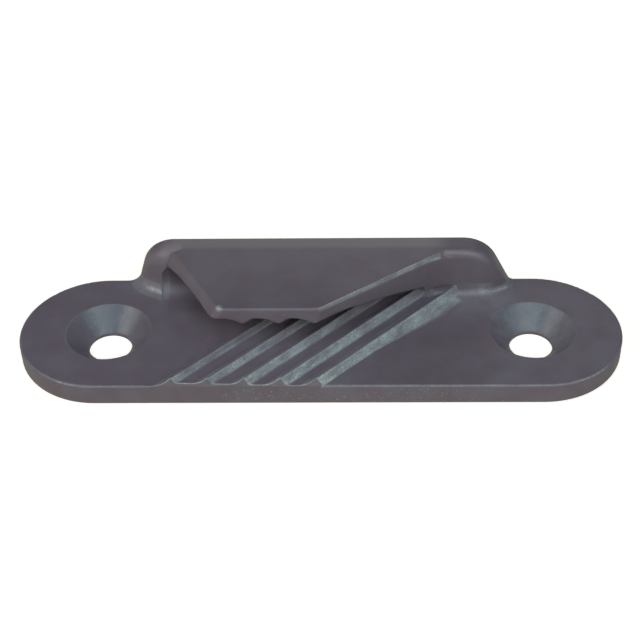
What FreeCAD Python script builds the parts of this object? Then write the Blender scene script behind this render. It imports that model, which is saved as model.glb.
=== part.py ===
import FreeCAD, Part
import math
import os
import Sketcher

# A side-entry jam cleat, cast in one piece.
# Millimetres. X runs along the plate, +Y towards the wall at the back, +Z up.
# The origin is the middle of the plate's underside.

doc = FreeCAD.newDocument("jam_cleat")

# Sizes, one cell each. Lengths in millimetres, angles in degrees.
SIZES = {
    "plate_length": 82.0,
    "plate_width": 22.5,
    "plate_thickness": 3.4,
    "rim_radius": 0.3,
    "underside_radius": 0.8,
    "hole_spacing": 57.8,
    "screw_hole_bore": 5.9,
    "countersink_width": 11.6,
    "countersink_angle": 90.0,
    "overall_height": 10.75,
    "wall_depth": 3.5,
    "wall_left_inset": 3.75,
    "wall_right_inset": 3.05,
    "left_end_slope": 72.0,
    "right_end_slope": 63.0,
    "left_shoulder_radius": 4.6,
    "right_shoulder_radius": 5.2,
    "left_nose_length": 4.6,
    "left_nose_angle": 29.5,
    "right_nose_length": 3.2,
    "right_nose_angle": 28.0,
    "nose_blend_radius": 6.0,
    "left_edge_radius": 2.4,
    "wall_edge_radius": 1.1,
    "left_foot_radius": 2.1,
    "right_foot_radius": 1.0,
    "hood_reach": 11.75,
    "lip_left_inset": 12.0,
    "lip_right_inset": 26.7,
    "hood_left_angle": 31.0,
    "flank_angle": 35.3,
    "hood_fall_angle": 1.3,
    "hood_edge_radius": 0.35,
    "lip_corner_radius": 1.3,
    "hood_bevel_width": 0.8,
    "hood_bevel_drop": 1.5,
    "mouth_inset": 3.8,
    "mouth_width": 9.2,
    "mouth_height": 5.7,
    "mouth_radius": 3.5,
    "mouth_recess": 0.95,
    "recess_inset": 10.7,
    "recess_cove_radius": 2.5,
    "tooth_angle": 45.0,
    "tooth_pitch": 3.37,
    "tooth_count": 5,
    "ridge_height": 1.7,
    "ridge_start": 19.3,
    "ramp_run": 2.3,
    "steep_run": 0.6,
    "crest_radius": 0.15,
    "root_rise": 0.6,
    "groove_radius": 0.4,
    "ramp_foot_radius": 1.5,
    "upper_tooth_height": 1.0,
    "upper_ramp_run": 1.7,
    "upper_steep_run": 1.0,
    "upper_tip_start": 10.1,
    "upper_tip_radius": 0.3,
    "jaw_gap": 2.75,
    "jaw_slope": 12.7,
    "web_radius": 8.0,
}

sheet = doc.addObject("Spreadsheet::Sheet", "sizes")
for row, (alias, number) in enumerate(SIZES.items(), start=1):
    sheet.set("A%d" % row, alias)
    sheet.set("B%d" % row, str(number))
    sheet.setAlias("B%d" % row, alias)
doc.recompute()

# Places that several features share, as expressions on the sizes
BACK = "sizes.plate_width / 2"
WALL_FRONT = "(sizes.plate_width / 2 - sizes.wall_depth)"
WALL_BASE = "(sizes.plate_thickness / 2)"
LIP_FRONT = "(%s - sizes.hood_reach)" % WALL_FRONT
CREASE = "(%s + sizes.wall_edge_radius)" % WALL_FRONT
UPPER_TIPS = "(sizes.plate_thickness + sizes.ridge_height + sizes.jaw_gap)"
MOUTH_TOP = "(sizes.plate_thickness + sizes.mouth_height)"
LEFT_END = "(sizes.plate_length / 2 - sizes.plate_width / 2 - sizes.wall_left_inset)"
RIGHT_END = "(sizes.plate_length / 2 - sizes.plate_width / 2 - sizes.wall_right_inset)"
LIP_LEFT = "(sizes.lip_left_inset - %s)" % LEFT_END
LIP_RIGHT = "(%s - sizes.lip_right_inset)" % RIGHT_END
MOUTH_LEFT = "(sizes.mouth_inset - %s)" % LEFT_END
MOUTH_RIGHT = "(%s + sizes.mouth_width)" % MOUTH_LEFT
RECESS_RIGHT = "(%s - sizes.recess_inset)" % RIGHT_END
STEP_ALONG_X = "(sizes.tooth_pitch / sin(sizes.tooth_angle))"
LONG = "(2 * sizes.plate_length)"


def value(expression):
    """The number that an expression on the sizes gives."""
    result = sheet.evalExpression(expression)
    return float(getattr(result, "Value", result))


def new_body(name):
    """An empty body whose label is its name."""
    body = doc.addObject("PartDesign::Body", name)
    body.Label = name
    doc.recompute()
    return body


def origin_part(body, role):
    """One of the body's own origin planes or axes, found by its role."""
    return next(item for item in body.Origin.OriginFeatures if item.Role == role)


def new_sketch(body, name, support):
    """An empty sketch lying on a plane of its body."""
    sketch = body.newObject("Sketcher::SketchObject", name)
    sketch.AttachmentSupport = [(support, "")]
    sketch.MapMode = "FlatFace"
    return sketch


def pin(sketch, geometry, point, across, up):
    """Hold one point of a sketch at two expressions, measured from the sketch's origin."""
    for kind, expression in (("DistanceX", across), ("DistanceY", up)):
        number = sketch.addConstraint(
            Sketcher.Constraint(kind, -1, 1, geometry, point, value(expression)))
        sketch.setExpression("Constraints[%d]" % number, expression)


def draw_outline(sketch, corners, arcs=None):
    """A closed outline through corners, each a pair of expressions.

    arcs gives a side's number its radius and +1 where the arc's centre lies to the left of the
    way along the side, or -1 where it lies to the right.
    """
    arcs = arcs or {}
    places = [FreeCAD.Vector(value(across), value(up), 0) for across, up in corners]
    ends = []
    for side, start in enumerate(places):
        finish = places[(side + 1) % len(places)]
        if side not in arcs:
            sketch.addGeometry(Part.LineSegment(start, finish))
            ends.append((1, 2))
            continue
        radius, turn = arcs[side]
        chord = finish - start
        reach = value(radius)
        height = math.sqrt(max(reach ** 2 - (chord.Length / 2) ** 2, 0.0))
        left = FreeCAD.Vector(-chord.y, chord.x, 0).normalize()
        centre = (start + finish) * 0.5 + left * (turn * height)
        first, last = (start, finish) if turn > 0 else (finish, start)
        angles = [math.atan2(spot.y - centre.y, spot.x - centre.x) for spot in (first, last)]
        if angles[1] < angles[0]:
            angles[1] += 2 * math.pi
        circle = Part.Circle(centre, FreeCAD.Vector(0, 0, 1), reach)
        sketch.addGeometry(Part.ArcOfCircle(circle, angles[0], angles[1]))
        ends.append((1, 2) if turn > 0 else (2, 1))
        number = sketch.addConstraint(Sketcher.Constraint("Radius", side, reach))
        sketch.setExpression("Constraints[%d]" % number, radius)
    for side, (across, up) in enumerate(corners):
        following = (side + 1) % len(corners)
        sketch.addConstraint(
            Sketcher.Constraint("Coincident", side, ends[side][1], following, ends[following][0]))
        pin(sketch, side, ends[side][0], across, up)


def draw_slot(sketch, length, width):
    """A straight slot with round ends, centred on the sketch's origin."""
    radius = value(width) / 2
    reach = value(length) / 2 - radius
    right = FreeCAD.Vector(reach, 0, 0)
    left = FreeCAD.Vector(-reach, 0, 0)
    rise = FreeCAD.Vector(0, radius, 0)
    axis = FreeCAD.Vector(0, 0, 1)
    sketch.addGeometry(Part.LineSegment(left - rise, right - rise))
    sketch.addGeometry(Part.ArcOfCircle(Part.Circle(right, axis, radius), -math.pi / 2, math.pi / 2))
    sketch.addGeometry(Part.LineSegment(right + rise, left + rise))
    sketch.addGeometry(Part.ArcOfCircle(Part.Circle(left, axis, radius), math.pi / 2, 3 * math.pi / 2))
    for side in range(4):
        sketch.addConstraint(Sketcher.Constraint("Tangent", side, 2, (side + 1) % 4, 1))
    sketch.addConstraint(Sketcher.Constraint("Equal", 1, 3))
    number = sketch.addConstraint(Sketcher.Constraint("Radius", 1, radius))
    sketch.setExpression("Constraints[%d]" % number, "%s / 2" % width)
    for arc, sign in ((1, ""), (3, "-")):
        sketch.addConstraint(Sketcher.Constraint("PointOnObject", arc, 3, -1))
        offset = "%s(%s - %s) / 2" % (sign, length, width)
        number = sketch.addConstraint(
            Sketcher.Constraint("DistanceX", -1, 1, arc, 3, value(offset)))
        sketch.setExpression("Constraints[%d]" % number, offset)


def extrude(body, kind, name, sketch, length, both_ways=False, reverse=False):
    """A Pad or Pocket of a sketch."""
    feature = body.newObject("PartDesign::" + kind, name)
    feature.Profile = sketch
    feature.Midplane = both_ways
    feature.Reversed = reverse
    feature.setExpression("Length", length)
    doc.recompute()
    return feature


def repeat(body, name, feature, count):
    """Copies of a feature set one tooth pitch apart along X."""
    pattern = body.newObject("PartDesign::LinearPattern", name)
    pattern.Originals = [feature]
    pattern.Direction = (origin_part(body, "X_Axis"), [""])
    pattern.setExpression("Occurrences", count)
    pattern.setExpression("Length", "%s * (%s - 1)" % (STEP_ALONG_X, count))
    body.Tip = pattern
    doc.recompute()
    return pattern


def edges_where(feature, test):
    """Names of the edges that pass a test all along."""
    names = []
    for number, edge in enumerate(feature.Shape.Edges, start=1):
        points = [edge.valueAt(edge.FirstParameter + share * (edge.LastParameter - edge.FirstParameter))
                  for share in (0.02, 0.25, 0.5, 0.75, 0.98)]
        if all(test(point) for point in points):
            names.append("Edge%d" % number)
    return names


def round_edges(body, name, feature, edges, radius):
    """A Fillet on the named edges of the last feature."""
    fillet = body.newObject("PartDesign::Fillet", name)
    fillet.Base = (feature, edges)
    fillet.setExpression("Radius", radius)
    doc.recompute()
    return fillet


def join(body, name, other):
    """Fuse another body into this one."""
    union = body.newObject("PartDesign::Boolean", name)
    union.Type = "Fuse"
    union.setObjects([other])
    doc.recompute()
    return union


def close(first, second, tolerance=1e-4):
    return abs(first - second) < tolerance


# The wall: a block along the back edge with sloping ends, rounded shoulders and a turned nose
wall = new_body("wall")
profile = new_sketch(wall, "wall_profile", origin_part(wall, "XZ_Plane"))
profile.AttachmentOffset = FreeCAD.Placement(FreeCAD.Vector(0, 0, 0), FreeCAD.Rotation())
profile.setExpression("AttachmentOffset.Base.z", "-sizes.plate_width / 2")
doc.recompute()
LEFT_LEAN = "tan(sizes.left_end_slope)"
RIGHT_LEAN = "tan(sizes.right_end_slope)"
WALL_RISE = "(sizes.overall_height - sizes.plate_thickness)"
draw_outline(profile, [
    ("-(%s + %s / %s)" % (LEFT_END, WALL_BASE, LEFT_LEAN), WALL_BASE),
    ("%s + %s / %s" % (RIGHT_END, WALL_BASE, RIGHT_LEAN), WALL_BASE),
    ("%s - %s / %s" % (RIGHT_END, WALL_RISE, RIGHT_LEAN), "sizes.overall_height"),
    ("-(%s - %s / %s)" % (LEFT_END, WALL_RISE, LEFT_LEAN), "sizes.overall_height"),
])
wall_block = extrude(wall, "Pad", "wall_block", profile, "sizes.wall_depth")


def at_top_corner(side):
    """A test for the wall's shoulder edge on the left (-1) or right (+1)."""
    return lambda point: close(point.z, value("sizes.overall_height")) and point.x * side > 0


def runs_across(feature, names):
    """The named edges that run straight across the wall, along Y."""
    chosen = []
    for name in names:
        edge = feature.Shape.getElement(name)
        first, last = edge.Vertexes[0].Point, edge.Vertexes[-1].Point
        if close(first.x, last.x) and close(first.z, last.z):
            chosen.append(name)
    return chosen


shoulder = wall_block
for side, name in ((-1, "left"), (1, "right")):
    edges = runs_across(shoulder, edges_where(shoulder, at_top_corner(side)))
    shoulder = round_edges(wall, name + "_shoulder", shoulder, edges,
                           "sizes.%s_shoulder_radius" % name)

LEFT_NOSE = "(%s - sizes.left_nose_length)" % LEFT_END
RIGHT_NOSE = "(%s - sizes.right_nose_length)" % RIGHT_END
nose = shoulder
for side, name, nose_start in ((-1, "left", LEFT_NOSE), (1, "right", RIGHT_NOSE)):
    cut = new_sketch(wall, name + "_nose_cut", origin_part(wall, "XY_Plane"))
    start = "%d * %s" % (side, nose_start)
    past = "%d * (%s + sizes.plate_width)" % (side, nose_start)
    draw_outline(cut, [
        (start, WALL_FRONT),
        (past, "%s + sizes.plate_width * tan(sizes.%s_nose_angle)" % (WALL_FRONT, name)),
        (past, "%s - sizes.wall_depth" % WALL_FRONT),
        (start, "%s - sizes.wall_depth" % WALL_FRONT),
    ])
    nose = extrude(wall, "Pocket", name + "_nose", cut, LONG, both_ways=True)


def on_nose_corner(point):
    """Where the wall's straight front turns into one of its noses."""
    start = value(LEFT_NOSE) if point.x < 0 else value(RIGHT_NOSE)
    return close(abs(point.x), start) and close(point.y, value(WALL_FRONT))


nose_blend = round_edges(wall, "nose_blend", nose, edges_where(nose, on_nose_corner),
                         "sizes.nose_blend_radius")

# Behind the jaws the wall is sunk a little, and above them it is open for the hood's root
HOOD_BACK = "(%s + 3 * sizes.wall_depth / 4)" % WALL_FRONT
SEAT_BACK = "(%s + 7 * sizes.wall_depth / 10)" % WALL_FRONT
recess = nose_blend
for name, low, high, reach in (
        ("recess", "0", MOUTH_TOP, "(%s + sizes.mouth_recess)" % WALL_FRONT),
        ("hood_seat", MOUTH_TOP, "2 * sizes.overall_height", SEAT_BACK)):
    cut = new_sketch(wall, name + "_profile", origin_part(wall, "XZ_Plane"))
    draw_outline(cut, [
        (MOUTH_RIGHT, low),
        (RECESS_RIGHT, low),
        (RECESS_RIGHT, high),
        (MOUTH_RIGHT, high),
    ])
    recess = extrude(wall, "Pocket", name, cut, "2 * %s" % reach, both_ways=True)


def on_top_front(side):
    """A test for the wall's top front edge on the left (-1) or right (+1) of the recess."""
    return lambda point: (close(point.y, value(WALL_FRONT)) and close(point.z, value("sizes.overall_height"))
                          and point.x * side > 0)


left_edge = round_edges(wall, "left_edge", recess, edges_where(recess, on_top_front(-1)),
                        "sizes.left_edge_radius")
right_edge = round_edges(wall, "right_edge", left_edge, edges_where(left_edge, on_top_front(1)),
                         "sizes.wall_edge_radius")

# The hood: it overhangs from the wall, with a straight lip and a slanting flank on the right
hood = new_body("hood")
plan = new_sketch(hood, "hood_plan", origin_part(hood, "XY_Plane"))
plan.AttachmentOffset = FreeCAD.Placement(FreeCAD.Vector(0, 0, 0), FreeCAD.Rotation())
plan.setExpression("AttachmentOffset.Base.z", "sizes.plate_thickness")
FLANK_END = "(%s + (%s - %s) / tan(sizes.flank_angle))" % (LIP_RIGHT, CREASE, LIP_FRONT)
LEFT_ROOT = "(%s - sizes.hood_reach * tan(sizes.hood_left_angle))" % LIP_LEFT
LEFT_CREASE = "-(%s - %s / %s - sizes.left_shoulder_radius)" % (LEFT_END, WALL_RISE, LEFT_LEAN)
draw_outline(plan, [
    (LIP_LEFT, LIP_FRONT),
    (LIP_RIGHT, LIP_FRONT),
    (FLANK_END, CREASE),
    (FLANK_END, HOOD_BACK),
    (LEFT_CREASE, HOOD_BACK),
    (LEFT_CREASE, CREASE),
    (LEFT_ROOT, WALL_FRONT),
])
hood_block = extrude(hood, "Pad", "hood_block", plan, WALL_RISE)

fall = new_sketch(hood, "fall_profile", origin_part(hood, "YZ_Plane"))
draw_outline(fall, [
    (CREASE, "sizes.overall_height"),
    ("%s - 2 * sizes.hood_reach" % CREASE,
     "sizes.overall_height - 2 * sizes.hood_reach * tan(sizes.hood_fall_angle)"),
    ("%s - 2 * sizes.hood_reach" % CREASE, "2 * sizes.overall_height"),
    (CREASE, "2 * sizes.overall_height"),
])
hood_fall = extrude(hood, "Pocket", "hood_fall", fall, LONG, both_ways=True)


def top_height(y):
    """Height of the hood's top at a distance along Y."""
    drop = (value(CREASE) - y) * math.tan(math.radians(value("sizes.hood_fall_angle")))
    return value("sizes.overall_height") - max(drop, 0.0)


def on_hood_top(point):
    return close(point.z, top_height(point.y))


# The hood's left side leans out towards its foot
bevel_cut = new_sketch(hood, "bevel_profile", origin_part(hood, "XZ_Plane"))
bevel_cut.AttachmentOffset = FreeCAD.Placement(
    FreeCAD.Vector(0, 0, 0), FreeCAD.Rotation(FreeCAD.Vector(0, 1, 0), value("sizes.hood_left_angle")))
bevel_cut.setExpression("AttachmentOffset.Rotation.Angle", "sizes.hood_left_angle")
bevel_cut.setExpression("AttachmentOffset.Base.x", LIP_LEFT)
bevel_cut.setExpression("AttachmentOffset.Base.z", "-%s" % LIP_FRONT)
LIP_TOP = "(sizes.overall_height - (%s - %s) * tan(sizes.hood_fall_angle))" % (CREASE, LIP_FRONT)
draw_outline(bevel_cut, [
    ("-sizes.hood_bevel_width", "%s - 2 * sizes.hood_bevel_drop" % LIP_TOP),
    ("3 * sizes.hood_bevel_width", "%s + 2 * sizes.hood_bevel_drop" % LIP_TOP),
    ("-sizes.hood_bevel_width", "%s + 2 * sizes.hood_bevel_drop" % LIP_TOP),
])
bevel = extrude(hood, "Pocket", "left_bevel", bevel_cut, LONG, both_ways=True)


def on_hood_rim(point):
    """On the hood's top outline, in front of the wall's crease."""
    return on_hood_top(point) and point.y < value(CREASE) - 1e-4


def on_lip(point):
    return close(point.y, value(LIP_FRONT))


def spans(feature, name, axis):
    """How far an edge reaches along an axis, end to end."""
    ends = feature.Shape.getElement(name).Vertexes
    return abs(getattr(ends[0], axis) - getattr(ends[-1], axis))


lip_edges = edges_where(bevel, on_lip)
lip_corners = round_edges(hood, "lip_corners", bevel,
                          [name for name in lip_edges if spans(bevel, name, "Z") > 1e-4],
                          "sizes.lip_corner_radius")
hood_edge = round_edges(hood, "hood_edge", lip_corners, edges_where(lip_corners, on_hood_rim),
                        "sizes.hood_edge_radius")

# The upper jaw: the hood's underside slopes down to the back and is cut into teeth.
# Its sketches lie square to the teeth, on a plane tilted with the slope.
tilt = hood.newObject("PartDesign::Plane", "jaw_tilt")
tilt.AttachmentSupport = [(origin_part(hood, "XZ_Plane"), "")]
tilt.MapMode = "FlatFace"
tilt.AttachmentOffset = FreeCAD.Placement(
    FreeCAD.Vector(0, 0, 0), FreeCAD.Rotation(FreeCAD.Vector(1, 0, 0), -value("sizes.jaw_slope")))
tilt.setExpression("AttachmentOffset.Rotation.Angle", "-sizes.jaw_slope")
tilt.setExpression("AttachmentOffset.Base.y", UPPER_TIPS)
tilt.setExpression("AttachmentOffset.Base.z", "-%s" % LIP_FRONT)
doc.recompute()


def tooth_sketch(body, name, support):
    """A sketch square to the teeth, turned about the upright of its support."""
    sketch = new_sketch(body, name, support)
    sketch.AttachmentOffset = FreeCAD.Placement(
        FreeCAD.Vector(0, 0, 0), FreeCAD.Rotation(FreeCAD.Vector(0, 1, 0), -value("sizes.tooth_angle")))
    sketch.setExpression("AttachmentOffset.Rotation.Angle", "-sizes.tooth_angle")
    return sketch


UPPER_TIP = "(-sizes.upper_tip_start * cos(sizes.tooth_angle))"
UPPER_RAMP = "((sizes.upper_ramp_run ^ 2 + sizes.upper_tooth_height ^ 2) / (2 * sizes.upper_tooth_height))"
BELOW = "-2 * sizes.overall_height"
slot_profile = tooth_sketch(hood, "slot_profile", tilt)
draw_outline(slot_profile, [
    ("-sizes.plate_length", BELOW),
    ("sizes.plate_length", BELOW),
    ("sizes.plate_length", "0"),
    (UPPER_TIP, "0"),
    ("%s - sizes.upper_ramp_run" % UPPER_TIP, "sizes.upper_tooth_height"),
    ("-sizes.plate_length", "sizes.upper_tooth_height"),
], {3: (UPPER_RAMP, 1)})
slot = extrude(hood, "Pocket", "rope_slot", slot_profile, LONG, both_ways=True)

groove_profile = tooth_sketch(hood, "groove_profile", tilt)
draw_outline(groove_profile, [
    (UPPER_TIP, "-sizes.upper_tooth_height"),
    ("%s + sizes.tooth_pitch" % UPPER_TIP, "-sizes.upper_tooth_height"),
    ("%s + sizes.tooth_pitch" % UPPER_TIP, "0"),
    ("%s + sizes.tooth_pitch - sizes.upper_ramp_run" % UPPER_TIP, "sizes.upper_tooth_height"),
    ("%s + sizes.upper_steep_run" % UPPER_TIP, "sizes.upper_tooth_height"),
    (UPPER_TIP, "0"),
], {2: (UPPER_RAMP, 1)})
groove = extrude(hood, "Pocket", "upper_groove", groove_profile, LONG, both_ways=True)
grooves = repeat(hood, "upper_grooves", groove, "sizes.tooth_count")


def on_upper_tip(point):
    """On the slope that the tips of the upper teeth share."""
    drop = (point.y - value(LIP_FRONT)) * math.tan(math.radians(value("sizes.jaw_slope")))
    return close(point.z, value(UPPER_TIPS) - drop)


tips = [name for name in edges_where(grooves, on_upper_tip) if spans(grooves, name, "Y") > 0.1]
round_edges(hood, "tip_round", grooves, tips, "sizes.upper_tip_radius")

# A web rounds the corner between the hood's flank and the wall's front. Its top slopes from the
# edge of the hood down to where the wall's own rounding starts.
web = new_body("flank_web")
web_plan = new_sketch(web, "web_plan", origin_part(web, "XY_Plane"))
web_plan.AttachmentOffset = FreeCAD.Placement(FreeCAD.Vector(0, 0, 0), FreeCAD.Rotation())
web_plan.setExpression("AttachmentOffset.Base.z", "%s - sizes.jaw_gap" % UPPER_TIPS)
doc.recompute()
WEB_CORNER = "(%s + sizes.hood_reach / tan(sizes.flank_angle))" % LIP_RIGHT
WEB_SIDE = "(sizes.web_radius * tan(sizes.flank_angle / 2))"
WEB_LEFT = "(%s - %s * cos(sizes.flank_angle))" % (WEB_CORNER, WEB_SIDE)
WEB_RIGHT = "(%s + %s)" % (WEB_CORNER, WEB_SIDE)
WEB_FRONT = "(%s - %s * sin(sizes.flank_angle))" % (WALL_FRONT, WEB_SIDE)
WEB_BACK = "(%s + sizes.mouth_recess)" % WALL_FRONT
draw_outline(web_plan, [
    (WEB_LEFT, WEB_FRONT),
    (WEB_RIGHT, WALL_FRONT),
    (WEB_RIGHT, WEB_BACK),
    (WEB_LEFT, WEB_BACK),
], {0: ("sizes.web_radius", -1)})
extrude(web, "Pad", "web_block", web_plan, "sizes.overall_height - %s + sizes.jaw_gap" % UPPER_TIPS)
web_cut = new_sketch(web, "web_cut", origin_part(web, "XZ_Plane"))
WEB_TOP = "(sizes.overall_height - (%s - %s) * tan(sizes.hood_fall_angle))" % (CREASE, WEB_FRONT)
draw_outline(web_cut, [
    (WEB_LEFT, "%s - sizes.hood_edge_radius" % WEB_TOP),
    (WEB_RIGHT, "sizes.overall_height - sizes.wall_edge_radius"),
    (WEB_RIGHT, "2 * sizes.overall_height"),
    (WEB_LEFT, "2 * sizes.overall_height"),
])
extrude(web, "Pocket", "web_top", web_cut, LONG, both_ways=True)

# The lower jaw: slanting ridges, each a hollow ramp up from the left and a steep face on the right
teeth = new_body("lower_teeth")
FIRST_RIDGE = "(-sizes.ridge_start * cos(sizes.tooth_angle))"
LAST_RIDGE = "(%s + (sizes.tooth_count - 1) * sizes.tooth_pitch)" % FIRST_RIDGE
RAMP = "((sizes.ramp_run ^ 2 + sizes.ridge_height ^ 2) / (2 * sizes.ridge_height))"


def ridge_sketch(name):
    """A sketch square to the ridges, level with the plate's top at its front edge."""
    sketch = tooth_sketch(teeth, name, origin_part(teeth, "XZ_Plane"))
    sketch.setExpression("AttachmentOffset.Base.y", "sizes.plate_thickness")
    sketch.setExpression("AttachmentOffset.Base.z", BACK)
    doc.recompute()
    return sketch


bed_profile = ridge_sketch("bed_profile")
draw_outline(bed_profile, [
    ("%s - sizes.ramp_run" % FIRST_RIDGE, "-%s" % WALL_BASE),
    ("%s + sizes.steep_run" % LAST_RIDGE, "-%s" % WALL_BASE),
    ("%s + sizes.steep_run" % LAST_RIDGE, "0"),
    ("%s - sizes.ramp_run" % FIRST_RIDGE, "0"),
])
bed = extrude(teeth, "Pad", "bed", bed_profile, LONG, both_ways=True)
root_profile = ridge_sketch("root_profile")
draw_outline(root_profile, [
    (FIRST_RIDGE, "0"),
    (LAST_RIDGE, "0"),
    (FIRST_RIDGE, "sizes.root_rise"),
])
root = extrude(teeth, "Pad", "root", root_profile, LONG, both_ways=True)
ridge_profile = ridge_sketch("ridge_profile")
draw_outline(ridge_profile, [
    ("%s - sizes.ramp_run" % FIRST_RIDGE, "0"),
    (FIRST_RIDGE, "sizes.ridge_height"),
    ("%s + sizes.steep_run" % FIRST_RIDGE, "0"),
    ("%s + sizes.steep_run" % FIRST_RIDGE, "-%s" % WALL_BASE),
    ("%s - sizes.ramp_run" % FIRST_RIDGE, "-%s" % WALL_BASE),
], {0: (RAMP, 1)})
ridge = extrude(teeth, "Pad", "ridge", ridge_profile, LONG, both_ways=True)
ridges = repeat(teeth, "ridges", ridge, "sizes.tooth_count")


def on_crest(point):
    return close(point.z, value("sizes.plate_thickness + sizes.ridge_height"))


def along_ridge(point):
    """How far a point lies from the first ridge's line, square to it."""
    angle = math.radians(value("sizes.tooth_angle"))
    across = (point.x * math.cos(angle)) - (point.y + value(BACK)) * math.sin(angle)
    return across - value(FIRST_RIDGE)


def edges_in_step(feature, low, high):
    """Straight edges along the ridges, above the plate, at a distance past a crest from low to high."""
    def in_step(point):
        past = along_ridge(point) % value("sizes.tooth_pitch")
        return low < past < high and value("sizes.plate_thickness") - 1e-4 < point.z
    names = []
    for name in edges_where(feature, in_step):
        ends = feature.Shape.getElement(name).Vertexes
        if close(along_ridge(ends[0].Point), along_ridge(ends[-1].Point)):
            names.append(name)
    return names


# The ridges end at the plate's outline
border = new_body("border")
border_plan = new_sketch(border, "border_plan", origin_part(border, "XY_Plane"))
draw_slot(border_plan, "sizes.plate_length", "sizes.plate_width")
extrude(border, "Pad", "border_block", border_plan, "sizes.overall_height")
trim = teeth.newObject("PartDesign::Boolean", "trim")
trim.Type = "Common"
trim.setObjects([border])
doc.recompute()
crest_round = round_edges(teeth, "crest_round", trim, edges_where(trim, on_crest), "sizes.crest_radius")
steep_feet = edges_in_step(crest_round, value("sizes.steep_run / 2"), value("sizes.steep_run") + 1e-3)
foot_round = round_edges(teeth, "foot_round", crest_round, steep_feet, "sizes.groove_radius")
ramp_feet = [name for name in edges_in_step(foot_round, value("sizes.tooth_pitch - sizes.ramp_run") + 1e-3,
                                            value("sizes.tooth_pitch - sizes.ramp_run / 4"))]
ramp_round = round_edges(teeth, "ramp_round", foot_round, ramp_feet, "sizes.ramp_foot_radius")

# The whole casting: the plate first
cleat = new_body("cleat_body")
plate_plan = new_sketch(cleat, "plate_plan", origin_part(cleat, "XY_Plane"))
draw_slot(plate_plan, "sizes.plate_length", "sizes.plate_width")
plate = extrude(cleat, "Pad", "plate", plate_plan, "sizes.plate_thickness")
underside = round_edges(cleat, "underside", plate, edges_where(plate, lambda point: close(point.z, 0)),
                        "sizes.underside_radius")
with_wall = join(cleat, "with_wall", wall)


def on_border(point):
    """On the plate's outline, seen from above."""
    radius = value(BACK)
    past = max(abs(point.x) - (value("sizes.plate_length / 2") - radius), 0.0)
    return close(math.hypot(past, point.y), radius) or (close(past, 0) and close(abs(point.y), radius))


def on_raised_border(point):
    """On the outline of the plate's top or of the wall's back."""
    return on_border(point) and point.z > value("sizes.plate_thickness") - 1e-4


def on_wall_foot(point):
    """On the foot of the wall's front and ends, outside the recess."""
    return (close(point.z, value("sizes.plate_thickness")) and not on_border(point)
            and not value(MOUTH_RIGHT) - 1e-3 < point.x < value(RECESS_RIGHT) + 1e-3)


left_feet = edges_where(with_wall, lambda point: point.x < 0 and on_wall_foot(point))
left_foot = round_edges(cleat, "left_foot", with_wall, left_feet, "sizes.left_foot_radius")
right_feet = edges_where(left_foot, lambda point: point.x > 0 and on_wall_foot(point))
right_foot = round_edges(cleat, "right_foot", left_foot, right_feet, "sizes.right_foot_radius")
rim = round_edges(cleat, "rim", right_foot, edges_where(right_foot, on_raised_border), "sizes.rim_radius")
join(cleat, "with_hood", hood)
join(cleat, "with_web", web)

# The rope's mouth at the left: a vault with round corners, through the hood and into the wall
mouth_profile = new_sketch(cleat, "mouth_profile", origin_part(cleat, "XZ_Plane"))
MOUTH_CORNER = "%s - sizes.mouth_radius" % MOUTH_TOP
draw_outline(mouth_profile, [
    (MOUTH_RIGHT, "sizes.plate_thickness"),
    (MOUTH_RIGHT, MOUTH_CORNER),
    ("%s - sizes.mouth_radius" % MOUTH_RIGHT, MOUTH_TOP),
    ("%s + sizes.mouth_radius" % MOUTH_LEFT, MOUTH_TOP),
    (MOUTH_LEFT, MOUTH_CORNER),
    (MOUTH_LEFT, "sizes.plate_thickness"),
], {1: ("sizes.mouth_radius", 1), 3: ("sizes.mouth_radius", 1)})
mouth = extrude(cleat, "Pocket", "mouth", mouth_profile, "2 * (%s + sizes.mouth_recess)" % WALL_FRONT,
                both_ways=True)
cove_profile = new_sketch(cleat, "cove_profile", origin_part(cleat, "YZ_Plane"))
cove_profile.AttachmentOffset = FreeCAD.Placement(FreeCAD.Vector(0, 0, 0), FreeCAD.Rotation())
cove_profile.setExpression("AttachmentOffset.Base.z", MOUTH_LEFT)
doc.recompute()
RECESS_BACK = "(%s + sizes.mouth_recess)" % WALL_FRONT
draw_outline(cove_profile, [
    ("%s - sizes.recess_cove_radius" % RECESS_BACK, WALL_BASE),
    ("%s + sizes.rim_radius" % RECESS_BACK, WALL_BASE),
    ("%s + sizes.rim_radius" % RECESS_BACK, "sizes.plate_thickness + sizes.recess_cove_radius"),
    (RECESS_BACK, "sizes.plate_thickness + sizes.recess_cove_radius"),
    ("%s - sizes.recess_cove_radius" % RECESS_BACK, "sizes.plate_thickness"),
], {3: ("sizes.recess_cove_radius", -1)})
extrude(cleat, "Pad", "recess_cove", cove_profile, "%s - %s" % (RECESS_RIGHT, MOUTH_LEFT))
join(cleat, "with_teeth", teeth)

# Two countersunk screw holes on the plate's middle line
hole_plan = new_sketch(cleat, "hole_plan", origin_part(cleat, "XY_Plane"))
hole_plan.AttachmentOffset = FreeCAD.Placement(FreeCAD.Vector(0, 0, 0), FreeCAD.Rotation())
hole_plan.setExpression("AttachmentOffset.Base.z", "sizes.plate_thickness")
for circle, sign in enumerate(("-", "")):
    across = "%ssizes.hole_spacing / 2" % sign
    centre = FreeCAD.Vector(value(across), 0, 0)
    hole_plan.addGeometry(Part.Circle(centre, FreeCAD.Vector(0, 0, 1), value("sizes.screw_hole_bore / 2")))
    number = hole_plan.addConstraint(
        Sketcher.Constraint("Radius", circle, value("sizes.screw_hole_bore / 2")))
    hole_plan.setExpression("Constraints[%d]" % number, "sizes.screw_hole_bore / 2")
    pin(hole_plan, circle, 3, across, "0")
doc.recompute()
holes = cleat.newObject("PartDesign::Hole", "screw_holes")
holes.Profile = hole_plan
holes.DepthType = "ThroughAll"
holes.HoleCutType = "Countersink"
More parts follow.
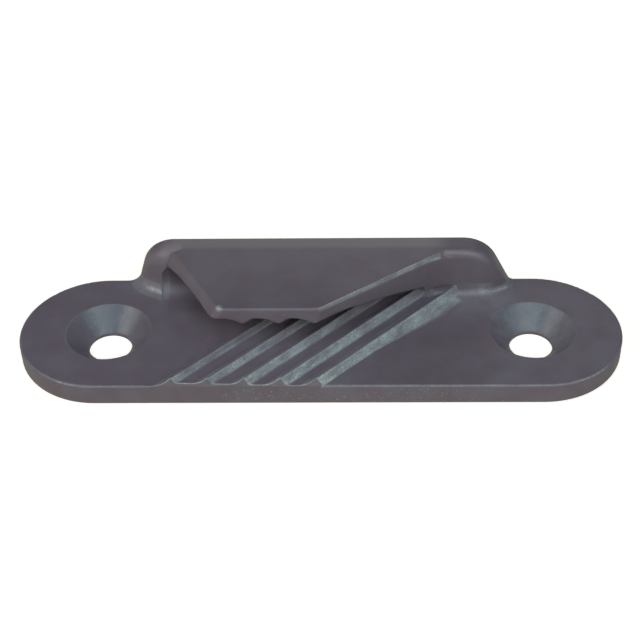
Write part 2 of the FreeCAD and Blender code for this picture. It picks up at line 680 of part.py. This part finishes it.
holes.HoleCutCustomValues = True
holes.setExpression("Diameter", "sizes.screw_hole_bore")
holes.setExpression("HoleCutDiameter", "sizes.countersink_width")
holes.setExpression("HoleCutCountersinkAngle", "sizes.countersink_angle")
doc.recompute()

# Every step is sound and the casting is one solid
for item in doc.Objects:
    if "Invalid" in item.State or "Error" in item.State:
        raise RuntimeError("%s did not come out" % item.Name)
shape = cleat.Shape
if shape.isNull() or not shape.isValid() or len(shape.Solids) != 1:
    raise RuntimeError("the casting is not one sound solid")
os.makedirs("parts", exist_ok=True)
shape.exportStep("parts/%s.step" % cleat.Label)
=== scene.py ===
import math

import bpy
from mathutils import Matrix, Vector

bl_info = {
    "name": "Jam cleat",
    "version": (1, 0, 0),
    "blender": (4, 5, 0),
    "location": "3D View > Sidebar > Cleat",
    "description": "Finishes a side-entry jam cleat and lights it",
    "category": "Object",
}

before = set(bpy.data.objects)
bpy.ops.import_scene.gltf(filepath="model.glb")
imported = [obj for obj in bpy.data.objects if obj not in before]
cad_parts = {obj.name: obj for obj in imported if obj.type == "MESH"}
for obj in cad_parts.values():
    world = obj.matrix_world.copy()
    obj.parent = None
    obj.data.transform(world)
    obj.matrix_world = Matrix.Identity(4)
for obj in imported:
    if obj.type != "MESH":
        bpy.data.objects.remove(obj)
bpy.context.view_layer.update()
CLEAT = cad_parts["cleat_body"]


class CleatFinish(bpy.types.PropertyGroup):
    """Colours and sizes of the anodised finish, and of the sheen, shade and highlights painted
    into it.
    """

    coat: bpy.props.FloatVectorProperty(
        name="Coat", description="Colour of the anodised coat",
        default=(0.188, 0.154, 0.192), size=3, min=0, max=1, subtype="COLOR")
    coat_light: bpy.props.FloatVectorProperty(
        name="Coat, light patches", description="Colour of the coat where it is thinner",
        default=(0.204, 0.184, 0.224), size=3, min=0, max=1, subtype="COLOR")
    # Painted sheen: a lighter colour standing in for reflected light along the wall's top, over
    # the hood and down the wall's left end
    painted_sheen_colour: bpy.props.FloatVectorProperty(
        name="Coat, thin", description="Colour of the thin coat along the wall's top",
        default=(0.34, 0.30, 0.31), size=3, min=0, max=1, subtype="COLOR")
    # Painted sheen: a bluish colour standing in for reflected light on the countersinks' far sides
    sunk_sheen_colour: bpy.props.FloatVectorProperty(
        name="Coat, countersinks", description="Colour of the coat in the two countersinks",
        default=(0.140, 0.158, 0.198), size=3, min=0, max=1, subtype="COLOR")
    # Used for rubbed metal and also for the painted highlights and sheen on roundings, rims, teeth
    # and countersinks
    rubbed: bpy.props.FloatVectorProperty(
        name="Rubbed metal", description="Colour of edges and teeth where the coat is rubbed thin",
        default=(0.63, 0.76, 0.79), size=3, min=0, max=1, subtype="COLOR")
    roughness: bpy.props.FloatProperty(
        name="Roughness", description="Roughness of the coat",
        default=0.36, min=0, max=1, subtype="FACTOR")
    metal: bpy.props.FloatProperty(
        name="Metal", description="How far the coat shines like metal",
        default=0.0, min=0, max=1, subtype="FACTOR")
    patch_size: bpy.props.FloatProperty(
        name="Patch size", description="Width of the coat's light patches",
        default=0.004, min=0.0005, max=0.05, unit="LENGTH")
    grain_size: bpy.props.FloatProperty(
        name="Grain size", description="Width of the casting's fine grain",
        default=0.00035, min=0.00005, max=0.01, unit="LENGTH")
    edge_width: bpy.props.FloatProperty(
        name="Edge softness", description="Radius over which the edges look softened",
        default=0.0003, min=0, max=0.005, unit="LENGTH")
    # Scales the rubbed places and the painted highlights and sheen alike
    wear: bpy.props.FloatProperty(
        name="Wear", description="How far the rubbed places show the metal",
        default=0.86, min=0, max=1, subtype="FACTOR")


class CleatStage(bpy.types.PropertyGroup):
    """Colours and sizes of the floor, the camera and the lamps."""

    floor: bpy.props.FloatVectorProperty(
        name="Floor", description="Colour of the floor",
        default=(0.82, 0.75, 0.60), size=3, min=0, max=1, subtype="COLOR")
    azimuth: bpy.props.FloatProperty(
        name="Camera turn", description="Turn round the cleat, from straight in front",
        default=math.radians(1.83), subtype="ANGLE")
    elevation: bpy.props.FloatProperty(
        name="Camera height", description="The camera's angle above the floor",
        default=math.radians(41.0), subtype="ANGLE")
    roll: bpy.props.FloatProperty(
        name="Camera roll", description="The camera's turn about its own line of sight",
        default=math.radians(-1.41), subtype="ANGLE")
    distance: bpy.props.FloatProperty(
        name="Camera distance", description="From the camera to the cleat",
        default=0.199, min=0.05, max=5, unit="LENGTH")
    lens: bpy.props.FloatProperty(
        name="Lens", description="Focal length in millimetres",
        default=81.5, min=10, max=300)
    key_power: bpy.props.FloatProperty(
        name="Middle lamps", description="Watts to which the front, high and back lamps are set",
        default=0.90, min=0, max=50)
    side_power: bpy.props.FloatProperty(
        name="Side lamps", description="Watts to which the left and right lamps are set",
        default=0.90, min=0, max=50)
    lamp_size: bpy.props.FloatProperty(
        name="Lamp size", description="Side of each square lamp",
        default=0.35, min=0.01, max=5, unit="LENGTH")
    lamp_distance: bpy.props.FloatProperty(
        name="Lamp distance", description="From each lamp to the cleat",
        default=0.6, min=0.1, max=10, unit="LENGTH")
    room: bpy.props.FloatProperty(
        name="Room", description="Strength of the light from all round",
        default=0.01, min=0, max=5)


class Nodes:
    """A material's node tree, built a node at a time."""

    def __init__(self, name):
        self.material = bpy.data.materials.new(name)
        self.material.use_nodes = True
        self.tree = self.material.node_tree
        self.tree.nodes.clear()
        self.place = self.add("TexCoord").outputs["Object"]

    def add(self, kind, inputs=None, **settings):
        """A node with its settings, and each input either linked or set."""
        node = self.tree.nodes.new("ShaderNode" + kind)
        for key, value in settings.items():
            setattr(node, key, value)
        for key, value in (inputs or {}).items():
            if isinstance(value, bpy.types.NodeSocket):
                self.tree.links.new(value, node.inputs[key])
            else:
                node.inputs[key].default_value = value
        return node

    def noise(self, place, size, detail, roughness=0.5):
        """Noise whose features are about size metres wide, from 0 to 1."""
        return self.add("TexNoise", {"Vector": place, "Scale": 1 / size, "Detail": detail,
                                     "Roughness": roughness}).outputs["Fac"]

    def spread(self, value, low, high, to_low=0.0, to_high=1.0):
        """The stretch of value from low to high, spread over another range."""
        return self.add("MapRange", {"Value": value, "From Min": low, "From Max": high,
                                     "To Min": to_low, "To Max": to_high}).outputs["Result"]

    def math(self, operation, first, second=0.0):
        """A sum, a quotient or the like of two values."""
        return self.add("Math", {0: first, 1: second}, operation=operation).outputs["Value"]

    def times(self, first, *others):
        """The product of the values, such as a share held to where all its masks are on."""
        for other in others:
            first = self.math("MULTIPLY", first, other)
        return first

    def most(self, first, *others):
        """The largest of the values, such as masks laid over one another."""
        for other in others:
            first = self.math("MAXIMUM", first, other)
        return first

    def band(self, value, low, high, soft):
        """1 where value lies between low and high, falling softly to 0 outside."""
        return self.times(self.spread(value, low - soft, low),
                          self.spread(value, high + soft, high))

    def vector(self, operation, first, second=(0, 0, 0)):
        """The length, distance or dot product that a vector operation gives."""
        node = self.add("VectorMath", {0: first, 1: second}, operation=operation)
        return node.outputs["Value"]

    def facing(self, normal, way, low, high):
        """From 0 to 1 as the angle between a normal and a way closes, by its cosine."""
        return self.spread(self.vector("DOT_PRODUCT", normal, way), low, high)

    def blend(self, share, first, second):
        """Two colours mixed by a share."""
        node = self.add("Mix", {"Factor": share, "A": first, "B": second}, data_type="RGBA")
        return node.outputs["Result"]


class CastNodes(Nodes):
    """The casting's node tree, with the places and ways on the cleat that its masks share."""

    def __init__(self, name):
        super().__init__(name)
        axes = self.add("SeparateXYZ", {"Vector": self.place}).outputs
        self.x, self.y, self.z = axes["X"], axes["Y"], axes["Z"]
        # Across the teeth's slant and along it
        self.across = self.math("SUBTRACT", self.x, self.y)
        self.along = self.math("ADD", self.x, self.y)
        # The way that a face looks, and how level it is: 1 for a top and 0 for an upright side
        self.face = self.add("NewGeometry").outputs["Normal"]
        self.level = self.add("SeparateXYZ", {"Vector": self.face}).outputs["Z"]


# In the masks below a fade is (none at, all at) and a band is (low, high, softness). Both are in
# metres along the axis that the name ends in, or for a name with LEVEL, in how level a face is.
# A graded fade goes on with its share at either end.
TOPS_Z = (0.0092, 0.0100)

# The painted sheen's places and how strong it is there
RIDGE_X = (-0.0200, 0.0160, 0.003)
RIDGE_Y = (0.0083, 0.0094)
RIDGE_SHARE = 0.65
GRADED_HOOD_Y = (-0.0040, 0.0090, 0.0, 0.14)
LEFT_END_X = (-0.0270, -0.0212, 0.0004)
GRADED_LEFT_FOOT_Z = (0.0036, 0.0050, 0.0, 0.24)
GRADED_LEFT_HEAD_Z = (0.0080, 0.0100, 1.0, 0.55)


def painted_sheen_share(cast):
    """Share of painted sheen, standing in for reflected light: on the wall's top, faintly over the
    hood, down the wall's left end.
    """
    tops = cast.spread(cast.z, *TOPS_Z)
    ridge = cast.times(cast.spread(cast.y, *RIDGE_Y), tops, cast.band(cast.x, *RIDGE_X))
    hood = cast.times(cast.spread(cast.y, *GRADED_HOOD_Y), tops)
    end = cast.times(cast.band(cast.x, *LEFT_END_X), cast.spread(cast.z, *GRADED_LEFT_FOOT_Z),
                     cast.spread(cast.z, *GRADED_LEFT_HEAD_Z))
    return cast.most(cast.times(ridge, RIDGE_SHARE), hood, end)


# The painted shade's places, and how level the faces are that have it
GRADED_LIP_Y = (0.0040, -0.0035, 0.0, 0.26)
GRADED_RIGHT_END_X = (0.0150, 0.0180, 0.0, 0.26)
LEVEL_TOPS = (0.70, 0.95)
BESIDE_TEETH_X = (0.0100, 0.0190, 0.006)
GRADED_BESIDE_TEETH_Y = (0.0040, 0.0, 0.0, 0.26)
PLATE_Z = (0.0045, 0.0036)
LEVEL_PLATE = (0.90, 0.99)


def painted_shade_share(cast):
    """Share of painted shade: towards the lip, at the wall's right end, and beside the teeth."""
    tops = cast.times(cast.spread(cast.z, *TOPS_Z), cast.spread(cast.level, *LEVEL_TOPS))
    high = cast.most(cast.spread(cast.y, *GRADED_LIP_Y), cast.spread(cast.x, *GRADED_RIGHT_END_X))
    beside = cast.times(cast.band(cast.x, *BESIDE_TEETH_X),
                        cast.spread(cast.y, *GRADED_BESIDE_TEETH_Y),
                        cast.spread(cast.z, *PLATE_Z), cast.spread(cast.level, *LEVEL_PLATE))
    return cast.most(cast.times(high, tops), beside)


# The recess beside the mouth, which gets painted shade and no wear
RECESS_X = (-0.0211, -0.0120, 0.0002)
RECESS_Y = (0.0045, 0.0089, 0.0010)
RECESS_Z = (0.0092, 0.0080)


def sheltered_recess(cast):
    """1 in the recess beside the mouth, which the rope doesn't reach."""
    return cast.times(cast.band(cast.x, *RECESS_X), cast.band(cast.y, *RECESS_Y),
                      cast.spread(cast.z, *RECESS_Z))


# The countersinks: how far out their middles are, their reach, its softness and their slope
HOLE_PLACE = 0.0289
HOLE_REACH = 0.0059
HOLE_EDGE = 0.0001
HOLE_LEVEL = (0.4, 0.85, 0.1)


def countersinks(cast):
    """1 on the slopes of the two countersinks."""
    beside = cast.math("SUBTRACT", cast.math("ABSOLUTE", cast.x), HOLE_PLACE)
    spot = cast.add("CombineXYZ", {"X": beside, "Y": cast.y}).outputs["Vector"]
    near = cast.spread(cast.vector("LENGTH", spot), HOLE_REACH, HOLE_REACH - HOLE_EDGE)
    return cast.times(near, cast.band(cast.level, *HOLE_LEVEL))


# The cosine between the softened normal and the face's own, for edges that are rubbed and get a
# painted highlight, and the teeth's front ends, where the painted highlight is strongest
SOFTENED = (0.988, 0.88)
FRONT_ENDS_Y = (-0.0108, -0.0110)
FRONT_ENDS_Z = (0.0036, 0.0050, 0.0002)
EDGE_WEAR_AND_HIGHLIGHT = 0.48
FRONT_ENDS_HIGHLIGHT = 1.5


def edge_wear_and_highlight(cast, softened):
    """Sharp edges, rubbed and with a painted highlight, where the softened normal leaves the
    face's own, most at the front ends.
    """
    front_ends = cast.times(cast.band(cast.z, *FRONT_ENDS_Z), cast.spread(cast.y, *FRONT_ENDS_Y))
    return cast.times(cast.facing(softened, cast.face, *SOFTENED),
                      cast.spread(front_ends, 0.0, 1.0, EDGE_WEAR_AND_HIGHLIGHT, FRONT_ENDS_HIGHLIGHT))


# The ways that the roundings with a painted highlight look, and how near to them a face has to
# look
RIGHT_ROUNDS = Vector((0.41, -0.58, 0.71)).normalized()
RIGHT_ROUNDS_NEAR = (0.970, 0.997)
LEFT_ROUNDS = Vector((-0.25, -0.66, 0.71)).normalized()
LEFT_ROUNDS_NEAR = (0.975, 0.998)
ROUNDS_HIGHLIGHT = 0.9
SUNK_ROUNDS_SHARE = 0.25


def painted_round_highlights(cast, sunk):
    """Painted highlights on roundings that look to the front, fainter in the countersinks."""
    rounds = cast.most(cast.facing(cast.face, RIGHT_ROUNDS, *RIGHT_ROUNDS_NEAR),
                       cast.facing(cast.face, LEFT_ROUNDS, *LEFT_ROUNDS_NEAR))
    return cast.times(rounds, ROUNDS_HIGHLIGHT, cast.spread(sunk, 0, 1, 1.0, SUNK_ROUNDS_SHARE))


# The hood's flank edge and its lip's left corner, which get a painted highlight, the edge as a
# band along the way that the flank looks
FLANK_FACING = Vector((0.578, -0.816, 0.0))
FLANK_EDGE = (0.00331, 0.0037, 0.0001)
FLANK_X = (0.0, 0.0164, 0.0004)
FLANK_HIGHLIGHT = 1.4
LIP_CORNER = Vector((-0.0131, -0.0036, 0.0103))
GRADED_CORNER = (0.0006, 0.0001, 0.0, 0.8)
RIM_Z = (0.0097, 0.0101)


def painted_rim_highlight(cast):
    """Painted highlight on the hood's upper edge along its flank, and on the left corner of its
    lip.
    """
    flank = cast.band(cast.vector("DOT_PRODUCT", cast.place, FLANK_FACING), *FLANK_EDGE)
    flank = cast.times(flank, cast.band(cast.x, *FLANK_X), FLANK_HIGHLIGHT)
    corner = cast.spread(cast.vector("DISTANCE", cast.place, LIP_CORNER), *GRADED_CORNER)
    return cast.times(cast.most(flank, corner), cast.spread(cast.z, *RIM_Z))


# The teeth's steep faces: the way that they look, their zone, and how their rubbed metal and
# painted sheen change in it
STEEP_FACING = Vector((0.67, -0.67, 0.33)).normalized()
STEEP_NEAR = (0.62, 0.97)
TEETH_ACROSS = (-0.0115, 0.0150, 0.001)
TEETH_Z = (0.0035, 0.0051, 0.0002)
GRADED_ACROSS = (-0.0115, 0.0115, 0.57, 1.17)
GRADED_ALONG = (-0.0090, 0.0020, 1.15, 0.92)
# The hood's flank line over the teeth, as Y less this much of the way across
HOOD_LINE = 0.7
# Painted shade: the steep faces' lighter colour fades out under the hood
GRADED_UNDER_HOOD = (-0.0040, 0.0040, 1.0, 0.12)


def steep_wear_and_sheen(cast):
    """The teeth's steep faces, rubbed metal with painted sheen, fainter to the left and, as
    painted shade, under the hood.
    """
    under_hood = cast.math("SUBTRACT", cast.y, cast.times(cast.across, HOOD_LINE))
    return cast.times(cast.facing(cast.face, STEEP_FACING, *STEEP_NEAR),
                      cast.band(cast.across, *TEETH_ACROSS), cast.band(cast.z, *TEETH_Z),
                      cast.spread(cast.across, *GRADED_ACROSS),
                      cast.spread(cast.along, *GRADED_ALONG),
                      cast.spread(under_hood, *GRADED_UNDER_HOOD))


# The wedge beside the last tooth: its start at the foot of the steep face, its width, its end
LAST_FOOT_ACROSS = 0.0118
WEDGE_START = (-0.0003, 0.0)
WEDGE_WIDTH_ALONG = (0.0030, 0.0200, 0.0001, 0.0023)
GRADED_WEDGE = (1.0, 0.5, 0.0, 0.85)
WEDGE_END_ALONG = (0.0266, 0.0254)
WEDGE_Z = (0.0032, 0.0040, 0.0002)


def worn_wedge(cast):
    """The plate beside the last tooth's upper end, out to a width that grows along the slant."""
    past = cast.math("SUBTRACT", cast.across, LAST_FOOT_ACROSS)
    share_of_width = cast.math("DIVIDE", past, cast.spread(cast.along, *WEDGE_WIDTH_ALONG))
    return cast.times(cast.spread(share_of_width, *GRADED_WEDGE), cast.spread(past, *WEDGE_START),
                      cast.band(cast.z, *WEDGE_Z), cast.spread(cast.along, *WEDGE_END_ALONG))


# The teeth's ramps, and the painted sheen on the plate by the wall's right foot
RAMPS_Z = (0.0035, 0.0052, 0.0004)
RAMPS_LEVEL = (0.30, 0.97, 0.02)
GRADED_RAMPS_Y = (-0.0080, -0.0105, 0.2, 0.42)
FOOT_X = (0.0190, 0.0245, 0.003)
GRADED_FOOT_Y = (0.0020, 0.0062, 0.0, 0.2)
FOOT_Z = (0.0042, 0.0036)
FOOT_LEVEL = (0.80, 0.95)


def worn_ramps_and_foot_sheen(cast):
    """Ramps and feet that the rope has rubbed a little, and a painted sheen on the plate by the
    wall's right foot.
    """
    ramps = cast.times(cast.band(cast.z, *RAMPS_Z), cast.band(cast.level, *RAMPS_LEVEL),
                       cast.spread(cast.y, *GRADED_RAMPS_Y))
    foot = cast.times(cast.band(cast.x, *FOOT_X), cast.spread(cast.y, *GRADED_FOOT_Y),
                      cast.spread(cast.z, *FOOT_Z), cast.spread(cast.level, *FOOT_LEVEL))
    return cast.most(ramps, foot)


# The front side and its chips, and the specks as dots about a spacing apart, few of them kept
SIDE_X = (-0.0090, 0.0150, 0.008)
SIDE_Y = (0.0, -0.0020)
SIDE_Z = (0.0031, 0.0028)
SIDE_LEVEL = (0.4, 0.2)
CHIP_SIZE = 0.0003
GRADED_CHIPS = (0.62, 0.70, 0.0, 0.3)
SPECK_SPACING = 0.0022
SPECK_DOT = (0.07, 0.04)
SPECKS_KEPT = (0.86, 0.88)
SPECK_WEAR = 0.35


def chips_and_specks(cast):
    """Small chips along the front side, and a few pale specks all over."""
    side = cast.times(cast.spread(cast.level, *SIDE_LEVEL), cast.spread(cast.z, *SIDE_Z),
                      cast.band(cast.x, *SIDE_X), cast.spread(cast.y, *SIDE_Y))
    grit = cast.noise(cast.place, CHIP_SIZE, detail=2, roughness=0.6)
    chips = cast.times(cast.spread(grit, *GRADED_CHIPS), side)
    dots = cast.add("TexVoronoi", {"Vector": cast.place, "Scale": 1 / SPECK_SPACING}).outputs
    pick = cast.add("SeparateXYZ", {"Vector": dots["Color"]}).outputs["X"]
    specks = cast.times(cast.spread(dots["Distance"], *SPECK_DOT), cast.spread(pick, *SPECKS_KEPT))
    return cast.most(chips, cast.times(specks, SPECK_WEAR))


# The speckle and the clouds: their sizes as shares of the patches' size, their ranges, and how
# far the clouds' pattern is drawn out along the slant
SPECKLE_SIZE = 0.05
GRADED_SPECKLE = (0.34, 0.64, 0.2, 1.05)
CLOUD_SIZE = 0.4
GRADED_CLOUDS = (0.34, 0.62, 0.4, 1.15)
CLOUD_DRAW = 0.4


def broken_wear_and_sheen(cast, sizes):
    """Fine speckle times clouds drawn out along the teeth's slant, so that no wear and no painted
    highlight is even.
    """
    speckle = cast.noise(cast.place, sizes.patch_size * SPECKLE_SIZE, detail=5, roughness=0.75)
    drawn = cast.add("CombineXYZ", {"X": cast.across, "Y": cast.times(cast.along, CLOUD_DRAW),
                                    "Z": cast.z}).outputs["Vector"]
    clouds = cast.noise(drawn, sizes.patch_size * CLOUD_SIZE, detail=3, roughness=0.6)
    return cast.times(cast.spread(speckle, *GRADED_SPECKLE), cast.spread(clouds, *GRADED_CLOUDS),
                      sizes.wear)


# How far the painted shade darkens the coat, and how much painted shade the recess gets
SHADE_DARKNESS = 0.5
RECESS_SHADE_SHARE = 0.18
# The way that the countersinks' far sides look, and how much painted bluish sheen they get
FAR_SIDES = Vector((0.0, -0.71, 0.71))
FAR_SIDES_NEAR = (0.66, 0.99)
SUNK_SHEEN_SHARE = 0.85


def coat_colour(cast, sizes, patches, recess, sunk):
    """Patchy coat, with painted sheen and painted shade in their places and in the recess, and a
    painted bluish sheen on the countersinks' far sides.
    """
    painted_shade = (*[channel * SHADE_DARKNESS for channel in sizes.coat], 1)
    far_sheen = cast.times(sunk, cast.facing(cast.face, FAR_SIDES, *FAR_SIDES_NEAR))
    colour = cast.blend(patches, (*sizes.coat, 1), (*sizes.coat_light, 1))
    # Painted sheen on the wall's top, over the hood and down the wall's left end
    colour = cast.blend(painted_sheen_share(cast), colour, (*sizes.painted_sheen_colour, 1))
    # Painted shade towards the lip, at the wall's right end and beside the teeth
    colour = cast.blend(painted_shade_share(cast), colour, painted_shade)
    # Painted shade in the recess beside the mouth
    colour = cast.blend(cast.times(recess, RECESS_SHADE_SHARE), colour, painted_shade)
    # Painted bluish sheen on the countersinks' far sides
    return cast.blend(cast.times(far_sheen, SUNK_SHEEN_SHARE), colour, (*sizes.sunk_sheen_colour, 1))


# How much painted sheen the left countersink and the right one get
GRADED_SUNK_SHEEN_X = (-0.02, 0.02, 0.05, 0.15)
# The stretch between the wall's ends, and the height below which its ends get wear and painted
# highlights too
BETWEEN_ENDS_X = (-0.0185, 0.0155, 0.001)
WALL_FOOT_Z = (0.0070, 0.0060)


def wear_and_painted_highlights(cast, sizes, softened, recess, sunk):
    """Every rubbed place and painted highlight, but for the recess and the wall's ends above their
    feet.
    """
    # Painted sheen in the countersinks, stronger in the right one
    sunk_sheen = cast.times(sunk, cast.spread(cast.x, *GRADED_SUNK_SHEEN_X))
    open_places = cast.times(cast.math("SUBTRACT", 1.0, recess),
                             cast.most(cast.band(cast.x, *BETWEEN_ENDS_X),
                                       cast.spread(cast.z, *WALL_FOOT_Z)))
    # Rubbed metal together with painted highlights and painted sheen
    rubbed_and_lit = cast.most(edge_wear_and_highlight(cast, softened), steep_wear_and_sheen(cast), worn_wedge(cast),
                     worn_ramps_and_foot_sheen(cast), sunk_sheen, painted_round_highlights(cast, sunk))
    rubbed_and_lit = cast.most(cast.times(rubbed_and_lit, open_places), painted_rim_highlight(cast))
    return cast.most(cast.times(rubbed_and_lit, broken_wear_and_sheen(cast, sizes)), chips_and_specks(cast))


# The coat's patches, their step in roughness, the grain's bump, and how far the coat bends light
PATCHES = (0.38, 0.64)
SMOOTHER, ROUGHER = 0.05, 0.06
GRAIN_STRENGTH = 0.18
GRAIN_DEPTH = 0.00003
REFRACTION = 1.5


def anodised_coat(sizes):
    """Dark hard-anodised casting: patchy satin coat, fine grain, rubbed edges and teeth, with
    painted sheen, painted shade and painted highlights.
    """
    cast = CastNodes("anodised_body")
    mottle = cast.noise(cast.place, sizes.patch_size, detail=6, roughness=0.6)
    patches = cast.spread(mottle, *PATCHES)
    grain = cast.noise(cast.place, sizes.grain_size, detail=4, roughness=0.6)
    bump = cast.add("Bump", {"Height": grain, "Strength": GRAIN_STRENGTH, "Distance": GRAIN_DEPTH})
    bevel = cast.add("Bevel", {"Radius": sizes.edge_width, "Normal": bump.outputs["Normal"]},
                     samples=8)
    softened = bevel.outputs["Normal"]
    recess, sunk = sheltered_recess(cast), countersinks(cast)
    colour = cast.blend(wear_and_painted_highlights(cast, sizes, softened, recess, sunk),
                        coat_colour(cast, sizes, patches, recess, sunk), (*sizes.rubbed, 1))
    rough = cast.spread(patches, 0, 1, sizes.roughness - SMOOTHER, sizes.roughness + ROUGHER)
    shader = cast.add("BsdfPrincipled", {"Base Color": colour, "Roughness": rough,
                                         "Metallic": sizes.metal, "IOR": REFRACTION,
                                         "Normal": softened})
    cast.add("OutputMaterial", {"Surface": shader.outputs["BSDF"]})
    return cast.material


# The floor: its half width, its faint clouds, and the white that the camera sees added to it
FLOOR_REACH = 3.0
FLOOR_CLOUD_SIZE = 0.3
FLOOR_CLOUDS = (0.3, 0.7)
FLOOR_CLOUD_SHADE = 0.985
GRADED_WHITE = (0.10, 0.60, 0.75, 1.0)


def white_floor(colour):
    """A pale floor that keeps the cleat's shadow, and that the camera sees as white."""
    make = Nodes("floor")
    clouds = make.spread(make.noise(make.place, FLOOR_CLOUD_SIZE, detail=2), *FLOOR_CLOUDS)
    clouded = (*[channel * FLOOR_CLOUD_SHADE for channel in colour], 1)
    shade = make.blend(clouds, (*colour, 1), clouded)
    matt = make.add("BsdfDiffuse", {"Color": shade}).outputs["BSDF"]
    lift = make.spread(make.vector("LENGTH", make.place), *GRADED_WHITE)
    white = make.add("Emission", {"Color": (1, 1, 1, 1), "Strength": lift}).outputs["Emission"]
    lifted = make.add("AddShader", {0: matt, 1: white}).outputs["Shader"]
    seen = make.add("LightPath").outputs["Is Camera Ray"]
    both = make.add("MixShader", {0: seen, 1: matt, 2: lifted}).outputs["Shader"]
    make.add("OutputMaterial", {"Surface": both})
    return make.material


class CLEAT_OT_finish(bpy.types.Operator):
    """Give the casting its anodised finish"""

    bl_idname = "cleat.finish"
    bl_label = "Anodised finish"

    def execute(self, context):
        CLEAT.data.materials[0] = anodised_coat(context.scene.cleat_finish)
        return {"FINISHED"}


def floor_under(scene, colour):
    """A flat square floor at the height of the plate's underside."""
    corners = [(x * FLOOR_REACH, y * FLOOR_REACH, 0)
               for x, y in ((-1, -1), (1, -1), (1, 1), (-1, 1))]
    mesh = bpy.data.meshes.new("floor")
    mesh.from_pydata(corners, [], [(0, 1, 2, 3)])
    mesh.materials.append(white_floor(colour))
    floor = bpy.data.objects.new("floor", mesh)
    scene.collection.objects.link(floor)


def studio_world(room):
    """A world that the camera sees as white, and that lights the cleat only faintly."""
    world = bpy.data.worlds.new("studio")
    world.use_nodes = True
    nodes, links = world.node_tree.nodes, world.node_tree.links
    seen = nodes.new("ShaderNodeLightPath").outputs["Is Camera Ray"]
    strength = nodes.new("ShaderNodeMath")
    strength.operation = "MAXIMUM"
    strength.inputs[1].default_value = room
    links.new(seen, strength.inputs[0])
    background = nodes["Background"]
    background.inputs["Color"].default_value = (1, 1, 1, 1)
    links.new(strength.outputs["Value"], background.inputs["Strength"])
    return world


def away_from_cleat(turn, height):
    """The way out from the cleat, turned from straight in front and raised, in radians."""
    level = math.cos(height)
    return Vector((math.sin(turn) * level, -math.cos(turn) * level, math.sin(height)))


def lamp(stage, name, turn, height, power, colour=(1, 1, 1)):
    """A soft square lamp that looks at the cleat, turned from the front and raised, in degrees."""
    away = away_from_cleat(math.radians(turn), math.radians(height))
    data = bpy.data.lights.new(name, "AREA")
    data.shape = "SQUARE"
    data.size = stage.lamp_size
    data.energy = power
    data.color = colour
    thing = bpy.data.objects.new(name, data)
    thing.location = away * stage.lamp_distance
    thing.rotation_euler = away.to_track_quat("Z", "Y").to_euler()
    bpy.context.scene.collection.objects.link(thing)


# The point over the cleat's middle that the camera turns round
AIM = Vector((0, 0, 0.0010))


def camera_at(stage):
    """The camera, from its turn, height, roll and distance."""
    turn, roll = stage.azimuth, stage.roll
    back = away_from_cleat(turn, stage.elevation)
    across = Vector((math.cos(turn), math.sin(turn), 0))
    rise = back.cross(across)
    right = across * math.cos(roll) + rise * math.sin(roll)
    up = rise * math.cos(roll) - across * math.sin(roll)
    data = bpy.data.cameras.new("camera")
    data.lens = stage.lens
    data.sensor_width = 36
    data.shift_y = 0.0366
    data.clip_start = 0.01
    data.clip_end = 20
    camera = bpy.data.objects.new("camera", data)
    turned = Matrix((right, up, back)).transposed().to_4x4()
    camera.matrix_world = Matrix.Translation(back * stage.distance + AIM) @ turned
    bpy.context.scene.collection.objects.link(camera)
    bpy.context.scene.camera = camera


class CLEAT_OT_stage(bpy.types.Operator):
    """Build the floor, the lamps, the world and the camera"""

    bl_idname = "cleat.stage"
    bl_label = "Stage"

    def execute(self, context):
        scene = context.scene
        stage = scene.cleat_stage
        floor_under(scene, stage.floor)
        scene.world = studio_world(stage.room)
        side, middle = stage.side_power, stage.key_power
        lamp(stage, "left", turn=-70, height=35, power=1.05 * side, colour=(1.0, 0.94, 0.87))
        lamp(stage, "right", turn=35, height=35, power=side, colour=(0.94, 1.0, 0.96))
        lamp(stage, "front", turn=0, height=35, power=0.45 * middle)
        lamp(stage, "high", turn=0, height=65, power=0.86 * middle, colour=(0.74, 0.90, 1.0))
        lamp(stage, "back", turn=170, height=22, power=0.22 * middle)
        camera_at(stage)
        scene.view_settings.view_transform = "Standard"
        return {"FINISHED"}


class CLEAT_PT_sidebar(bpy.types.Panel):
    """The cleat's operators, with their sizes and colours"""

    bl_label = "Jam cleat"
    bl_idname = "CLEAT_PT_sidebar"
    bl_space_type = "VIEW_3D"
    bl_region_type = "UI"
    bl_category = "Cleat"

    def draw(self, context):
        for group, operator in ((context.scene.cleat_finish, "cleat.finish"),
                                (context.scene.cleat_stage, "cleat.stage")):
            column = self.layout.column(align=True)
            for key in group.__annotations__:
                column.prop(group, key)
            self.layout.operator(operator)


CLASSES = (CleatFinish, CleatStage, CLEAT_OT_finish, CLEAT_OT_stage, CLEAT_PT_sidebar)


def register():
    for kind in CLASSES:
        bpy.utils.register_class(kind)
    bpy.types.Scene.cleat_finish = bpy.props.PointerProperty(type=CleatFinish)
    bpy.types.Scene.cleat_stage = bpy.props.PointerProperty(type=CleatStage)


def unregister():
    del bpy.types.Scene.cleat_stage
    del bpy.types.Scene.cleat_finish
    for kind in reversed(CLASSES):
        bpy.utils.unregister_class(kind)


def main():
    register()
    bpy.ops.cleat.finish()
    bpy.ops.cleat.stage()


if __name__ == "__main__":
    main()
